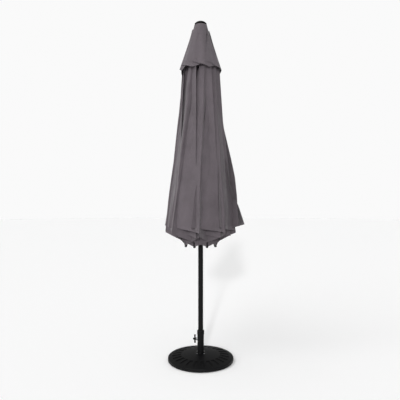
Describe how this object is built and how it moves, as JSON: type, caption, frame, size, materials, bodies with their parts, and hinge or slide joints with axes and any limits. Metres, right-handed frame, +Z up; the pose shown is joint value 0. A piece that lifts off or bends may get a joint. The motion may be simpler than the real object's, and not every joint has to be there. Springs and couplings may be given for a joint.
{
  "type": "patio umbrella with base",
  "caption": "Folding garden umbrella with a vented cloth canopy on hinged ribs, a crank pole, and a round weighted base with a clamp knob.",
  "frame": {"origin": "on the floor, on the pole's axis", "axes": "+Z up along the pole, -X towards the clamp knob, -Y towards the crank handle"},
  "size_m": [0.5881, 0.522, 2.598],
  "materials": {
    "resin_stone": "satin",
    "black_paint": "satin",
    "steel": "bright",
    "black_plastic": "satin",
    "rubber": "matte",
    "cord": "matte",
    "canopy_cloth": "matte"
  },
  "bodies": {
    "base": {"base_plate": "resin_stone", "rubber_feet": "rubber", "foot_flange": "black_paint", "flange_screws": "steel", "base_tube": "black_paint", "tube_collar": "black_plastic", "clamp_nut": "steel"},
    "clamp_knob": {"clamp_screw": "steel", "clamp_knob": "black_plastic"},
    "pole": {"lower_pole": "black_paint", "upper_pole": "black_paint", "joint_sleeve": "steel", "crank_housing_front": "black_plastic", "crank_housing_rear": "black_plastic", "housing_screws": "steel", "top_hub": "black_plastic", "hub_wire_ring": "steel", "pulley_pin": "steel", "top_cap": "black_plastic", "lift_cord": "cord", "lift_cord_fall": "cord", "vent_canopy": "canopy_cloth"},
    "pulley": {"pulley": "black_plastic"},
    "crank": {"cord_spool": "black_plastic", "crank_arm": "steel"},
    "crank_grip": {"crank_grip": "black_plastic"},
    "runner": {"runner": "black_plastic", "runner_wire_ring": "steel"},
    "rib_1": {"rib_1": "black_paint"},
    "strut_1": {"strut_1": "black_paint"},
    "panel_outer_1": {"panel_outer_1": "canopy_cloth"},
    "panel_inner_1": {"panel_inner_1": "canopy_cloth"},
    "rib_2": {"rib_2": "black_paint"},
    "strut_2": {"strut_2": "black_paint"},
    "panel_outer_2": {"panel_outer_2": "canopy_cloth"},
    "panel_inner_2": {"panel_inner_2": "canopy_cloth"},
    "rib_3": {"rib_3": "black_paint"},
    "strut_3": {"strut_3": "black_paint"},
    "panel_outer_3": {"panel_outer_3": "canopy_cloth"},
    "panel_inner_3": {"panel_inner_3": "canopy_cloth"},
    "rib_4": {"rib_4": "black_paint"},
    "strut_4": {"strut_4": "black_paint"},
    "panel_outer_4": {"panel_outer_4": "canopy_cloth"},
    "panel_inner_4": {"panel_inner_4": "canopy_cloth"},
    "rib_5": {"rib_5": "black_paint"},
    "strut_5": {"strut_5": "black_paint"},
    "panel_outer_5": {"panel_outer_5": "canopy_cloth"},
    "panel_inner_5": {"panel_inner_5": "canopy_cloth"},
    "rib_6": {"rib_6": "black_paint"},
    "strut_6": {"strut_6": "black_paint"},
    "panel_outer_6": {"panel_outer_6": "canopy_cloth"},
    "panel_inner_6": {"panel_inner_6": "canopy_cloth"},
    "rib_7": {"rib_7": "black_paint"},
    "strut_7": {"strut_7": "black_paint"},
    "panel_outer_7": {"panel_outer_7": "canopy_cloth"},
    "panel_inner_7": {"panel_inner_7": "canopy_cloth"},
    "rib_8": {"rib_8": "black_paint"},
    "strut_8": {"strut_8": "black_paint"},
    "panel_outer_8": {"panel_outer_8": "canopy_cloth"},
    "panel_inner_8": {"panel_inner_8": "canopy_cloth"}
  },
  "joints": [
    {"name": "pole_lift", "type": "slide", "parent": "base", "child": "pole", "axis": [0, 0, 1], "range_m": [0, 0.21]},
    {"name": "clamp_turn", "type": "hinge", "parent": "base", "child": "clamp_knob", "pos_m": [-0.04, 0, 0.164], "axis": [1, 0, 0], "range_deg": [0, 1440]},
    {"name": "crank_turn", "type": "hinge", "parent": "pole", "child": "crank", "pos_m": [0, -0.045, 1.19], "axis": [0, -1, 0], "range_deg": [0, 3227.58]},
    {"name": "grip_spin", "type": "hinge", "parent": "crank", "child": "crank_grip", "pos_m": [0, -0.065, 1.12], "axis": [0, -1, 0], "continuous": true},
    {"name": "pulley_turn", "type": "hinge", "parent": "pole", "child": "pulley", "pos_m": [0.01, 0, 2.491], "axis": [0, -1, 0], "range_deg": [-4108.2, 0]},
    {"name": "rib_1_fold", "type": "hinge", "parent": "pole", "child": "rib_1", "pos_m": [0.03326, 0.01378, 2.53], "axis": [0.3827, -0.9239, 0], "range_deg": [0, 67.6], "deforming": ["lift_cord_fall", "lift_cord", "vent_canopy"]},
    {"name": "rib_2_fold", "type": "hinge", "parent": "pole", "child": "rib_2", "pos_m": [0.01378, 0.03326, 2.53], "axis": [0.9239, -0.3827, 0], "range_deg": [0, 67.65]},
    {"name": "rib_3_fold", "type": "hinge", "parent": "pole", "child": "rib_3", "pos_m": [-0.01378, 0.03326, 2.53], "axis": [0.9239, 0.3827, 0], "range_deg": [0, 67.65]},
    {"name": "rib_4_fold", "type": "hinge", "parent": "pole", "child": "rib_4", "pos_m": [-0.03326, 0.01378, 2.53], "axis": [0.3827, 0.9239, 0], "range_deg": [0, 67.65]},
    {"name": "rib_5_fold", "type": "hinge", "parent": "pole", "child": "rib_5", "pos_m": [-0.03326, -0.01378, 2.53], "axis": [-0.3827, 0.9239, 0], "range_deg": [0, 67.65]},
    {"name": "rib_6_fold", "type": "hinge", "parent": "pole", "child": "rib_6", "pos_m": [-0.01378, -0.03326, 2.53], "axis": [-0.9239, 0.3827, 0], "range_deg": [0, 67.65]},
    {"name": "rib_7_fold", "type": "hinge", "parent": "pole", "child": "rib_7", "pos_m": [0.01378, -0.03326, 2.53], "axis": [-0.9239, -0.3827, 0], "range_deg": [0, 67.65]},
    {"name": "rib_8_fold", "type": "hinge", "parent": "pole", "child": "rib_8", "pos_m": [0.03326, -0.01378, 2.53], "axis": [-0.3827, -0.9239, 0], "range_deg": [0, 67.65]},
    {"name": "strut_1_fold", "type": "hinge", "parent": "rib_1", "child": "strut_1", "pos_m": [0.05647, 0.02339, 1.93053], "axis": [0.3827, -0.9239, 0], "range_deg": [-135.3, 0]},
    {"name": "strut_2_fold", "type": "hinge", "parent": "rib_2", "child": "strut_2", "pos_m": [0.02339, 0.05647, 1.93053], "axis": [0.9239, -0.3827, 0], "range_deg": [-135.3, 0]},
    {"name": "strut_3_fold", "type": "hinge", "parent": "rib_3", "child": "strut_3", "pos_m": [-0.02339, 0.05647, 1.93053], "axis": [0.9239, 0.3827, 0], "range_deg": [-135.3, 0]},
    {"name": "strut_4_fold", "type": "hinge", "parent": "rib_4", "child": "strut_4", "pos_m": [-0.05647, 0.02339, 1.93053], "axis": [0.3827, 0.9239, 0], "range_deg": [-135.3, 0]},
    {"name": "strut_5_fold", "type": "hinge", "parent": "rib_5", "child": "strut_5", "pos_m": [-0.05647, -0.02339, 1.93053], "axis": [-0.3827, 0.9239, 0], "range_deg": [-135.3, 0]},
    {"name": "strut_6_fold", "type": "hinge", "parent": "rib_6", "child": "strut_6", "pos_m": [-0.02339, -0.05647, 1.93053], "axis": [-0.9239, 0.3827, 0], "range_deg": [-135.3, 0]},
    {"name": "strut_7_fold", "type": "hinge", "parent": "rib_7", "child": "strut_7", "pos_m": [0.02339, -0.05647, 1.93053], "axis": [-0.9239, -0.3827, 0], "range_deg": [-135.3, 0]},
    {"name": "strut_8_fold", "type": "hinge", "parent": "rib_8", "child": "strut_8", "pos_m": [0.05647, -0.02339, 1.93053], "axis": [-0.3827, -0.9239, 0], "range_deg": [-135.3, 0]},
    {"name": "runner_fold", "type": "hinge", "parent": "strut_1", "child": "runner", "pos_m": [0.03326, 0.01378, 1.33105], "axis": [0.3827, -0.9239, 0], "range_deg": [0, 67.65]},
    {"name": "panel_outer_1_turn", "type": "hinge", "parent": "rib_1", "child": "panel_outer_1", "pos_m": [0.05633, -0.04075, 2.58816], "axis": [-0.1098, 0.1109, 0.9878], "range_deg": [0, 89.03], "deforming": ["panel_outer_1"]},
    {"name": "panel_inner_1_turn", "type": "hinge", "parent": "rib_8", "child": "panel_inner_1", "pos_m": [0.08959, -0.02049, 2.58119], "axis": [0.0817, 0.0628, -0.9947], "range_deg": [0, 144.58], "deforming": ["panel_inner_1"]},
    {"name": "panel_outer_2_turn", "type": "hinge", "parent": "rib_2", "child": "panel_outer_2", "pos_m": [0.06914, 0.0123, 2.58724], "axis": [-0.1547, 0.0058, 0.9879], "range_deg": [0, 88.95], "deforming": ["panel_outer_2"]},
    {"name": "panel_inner_2_turn", "type": "hinge", "parent": "rib_1", "child": "panel_inner_2", "pos_m": [0.07709, 0.04949, 2.58188], "axis": [0.0161, 0.0996, -0.9949], "range_deg": [0, 144.64], "deforming": ["panel_inner_2"]},
    {"name": "panel_outer_3_turn", "type": "hinge", "parent": "rib_3", "child": "panel_outer_3", "pos_m": [0.03693, 0.06339, 2.58715], "axis": [-0.1261, -0.0831, 0.9885], "range_deg": [0, 88.53], "deforming": ["panel_outer_3"]},
    {"name": "panel_inner_3_turn", "type": "hinge", "parent": "rib_2", "child": "panel_inner_3", "pos_m": [0.01448, 0.08931, 2.58259], "axis": [-0.0401, 0.0824, -0.9958], "range_deg": [0, 144.94], "deforming": ["panel_inner_3"]},
    {"name": "panel_outer_4_turn", "type": "hinge", "parent": "rib_4", "child": "panel_outer_4", "pos_m": [-0.01398, 0.06953, 2.58776], "axis": [-0.0122, -0.1529, 0.9882], "range_deg": [0, 88.83], "deforming": ["panel_outer_4"]},
    {"name": "panel_inner_4_turn", "type": "hinge", "parent": "rib_3", "child": "panel_inner_4", "pos_m": [-0.05046, 0.07615, 2.58124], "axis": [-0.0962, 0.0197, -0.9952], "range_deg": [0, 144.72], "deforming": ["panel_inner_4"]},
    {"name": "panel_outer_5_turn", "type": "hinge", "parent": "rib_5", "child": "panel_outer_5", "pos_m": [-0.05845, 0.03959, 2.58793], "axis": [0.1018, -0.1155, 0.9881], "range_deg": [0, 88.88], "deforming": ["panel_outer_5"]},
    {"name": "panel_inner_5_turn", "type": "hinge", "parent": "rib_4", "child": "panel_inner_5", "pos_m": [-0.08957, 0.01865, 2.58085], "axis": [-0.0819, -0.056, -0.9951], "range_deg": [0, 144.69], "deforming": ["panel_inner_5"]},
    {"name": "panel_outer_6_turn", "type": "hinge", "parent": "rib_6", "child": "panel_outer_6", "pos_m": [-0.06906, -0.01335, 2.5896], "axis": [0.1536, -0.0097, 0.9881], "range_deg": [0, 88.88], "deforming": ["panel_outer_6"]},
    {"name": "panel_inner_6_turn", "type": "hinge", "parent": "rib_5", "child": "panel_inner_6", "pos_m": [-0.07652, -0.05012, 2.5812], "axis": [-0.0184, -0.0975, -0.9951], "range_deg": [0, 144.69], "deforming": ["panel_inner_6"]},
    {"name": "panel_outer_7_turn", "type": "hinge", "parent": "rib_7", "child": "panel_outer_7", "pos_m": [-0.03892, -0.05995, 2.58689], "axis": [0.1185, 0.0964, 0.9883], "range_deg": [0, 88.77], "deforming": ["panel_outer_7"]},
    {"name": "panel_inner_7_turn", "type": "hinge", "parent": "rib_6", "child": "panel_inner_7", "pos_m": [-0.01746, -0.08949, 2.58141], "axis": [0.0514, -0.0821, -0.9953], "range_deg": [0, 144.76], "deforming": ["panel_inner_7"]},
    {"name": "panel_outer_8_turn", "type": "hinge", "parent": "rib_8", "child": "panel_outer_8", "pos_m": [0.0127, -0.06896, 2.58911], "axis": [0.0072, 0.1543, 0.988], "range_deg": [0, 88.92], "deforming": ["panel_outer_8"]},
    {"name": "panel_inner_8_turn", "type": "hinge", "parent": "rib_7", "child": "panel_inner_8", "pos_m": [0.04967, -0.07687, 2.58223], "axis": [0.0988, -0.017, -0.995], "range_deg": [0, 144.66], "deforming": ["panel_inner_8"]}
  ],
  "couplings": [
    {"joint": "rib_2_fold", "follows": "rib_1_fold", "ratio": 1},
    {"joint": "rib_3_fold", "follows": "rib_1_fold", "ratio": 1},
    {"joint": "rib_4_fold", "follows": "rib_1_fold", "ratio": 1},
    {"joint": "rib_5_fold", "follows": "rib_1_fold", "ratio": 1},
    {"joint": "rib_6_fold", "follows": "rib_1_fold", "ratio": 1},
    {"joint": "rib_7_fold", "follows": "rib_1_fold", "ratio": 1},
    {"joint": "rib_8_fold", "follows": "rib_1_fold", "ratio": 1},
    {"joint": "strut_1_fold", "follows": "rib_1_fold", "ratio": -2},
    {"joint": "strut_2_fold", "follows": "rib_1_fold", "ratio": -2},
    {"joint": "strut_3_fold", "follows": "rib_1_fold", "ratio": -2},
    {"joint": "strut_4_fold", "follows": "rib_1_fold", "ratio": -2},
    {"joint": "strut_5_fold", "follows": "rib_1_fold", "ratio": -2},
    {"joint": "strut_6_fold", "follows": "rib_1_fold", "ratio": -2},
    {"joint": "strut_7_fold", "follows": "rib_1_fold", "ratio": -2},
    {"joint": "strut_8_fold", "follows": "rib_1_fold", "ratio": -2},
    {"joint": "runner_fold", "follows": "rib_1_fold", "ratio": 1},
    {"joint": "crank_turn", "follows": "rib_1_fold", "ratio": 47.738},
    {"joint": "pulley_turn", "follows": "rib_1_fold", "ratio": -60.757},
    {"joint": "panel_outer_1_turn", "follows": "rib_1_fold", "ratio": 1.3164},
    {"joint": "panel_inner_1_turn", "follows": "rib_1_fold", "ratio": 2.1381},
    {"joint": "panel_outer_2_turn", "follows": "rib_1_fold", "ratio": 1.315},
    {"joint": "panel_inner_2_turn", "follows": "rib_1_fold", "ratio": 2.1389},
    {"joint": "panel_outer_3_turn", "follows": "rib_1_fold", "ratio": 1.3088},
    {"joint": "panel_inner_3_turn", "follows": "rib_1_fold", "ratio": 2.1434},
    {"joint": "panel_outer_4_turn", "follows": "rib_1_fold", "ratio": 1.3134},
    {"joint": "panel_inner_4_turn", "follows": "rib_1_fold", "ratio": 2.1401},
    {"joint": "panel_outer_5_turn", "follows": "rib_1_fold", "ratio": 1.314},
    {"joint": "panel_inner_5_turn", "follows": "rib_1_fold", "ratio": 2.1397},
    {"joint": "panel_outer_6_turn", "follows": "rib_1_fold", "ratio": 1.314},
    {"joint": "panel_inner_6_turn", "follows": "rib_1_fold", "ratio": 2.1397},
    {"joint": "panel_outer_7_turn", "follows": "rib_1_fold", "ratio": 1.3125},
    {"joint": "panel_inner_7_turn", "follows": "rib_1_fold", "ratio": 2.1407},
    {"joint": "panel_outer_8_turn", "follows": "rib_1_fold", "ratio": 1.3146},
    {"joint": "panel_inner_8_turn", "follows": "rib_1_fold", "ratio": 2.1392}
  ]
}
